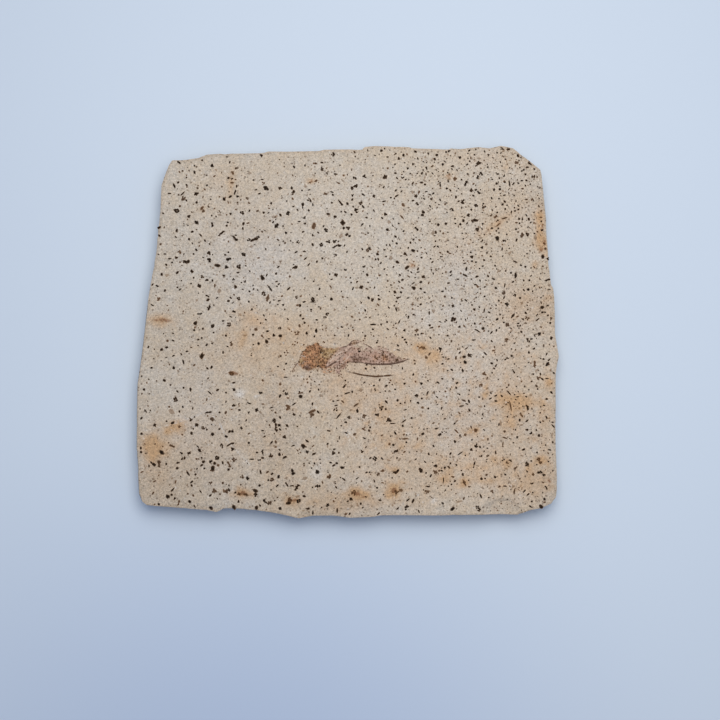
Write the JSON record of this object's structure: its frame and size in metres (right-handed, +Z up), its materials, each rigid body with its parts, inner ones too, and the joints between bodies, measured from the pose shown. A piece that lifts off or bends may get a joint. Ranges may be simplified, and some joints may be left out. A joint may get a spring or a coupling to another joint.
{
  "type": "fossil insect in limestone slab",
  "caption": "Flat broken slab of pale laminated limestone with a fossil grasshopper pressed in its upper face, lying flat.",
  "frame": {"origin": "middle of the slab's footprint, on its flat underside", "axes": "+Z up out of the face with the insect; +X along the slab's longer side, the way the insect's wing tips point; +Y across the slab to its back edge"},
  "size_m": [0.0962, 0.0858, 0.0063],
  "materials": {
    "limestone": "matt fine-grained cream limestone with small dark mineral specks and ochre stains",
    "iron_stained_remains": "matt orange-brown iron mineral film",
    "dark_remains": "matt dark brown iron mineral film",
    "mineral_specks": "near-black and brown manganese and iron mineral grains, slightly satin"
  },
  "bodies": {
    "root": {"limestone_slab": "limestone", "grasshopper": "iron_stained_remains", "loose_leg": "dark_remains"}
  },
  "joints": []
}
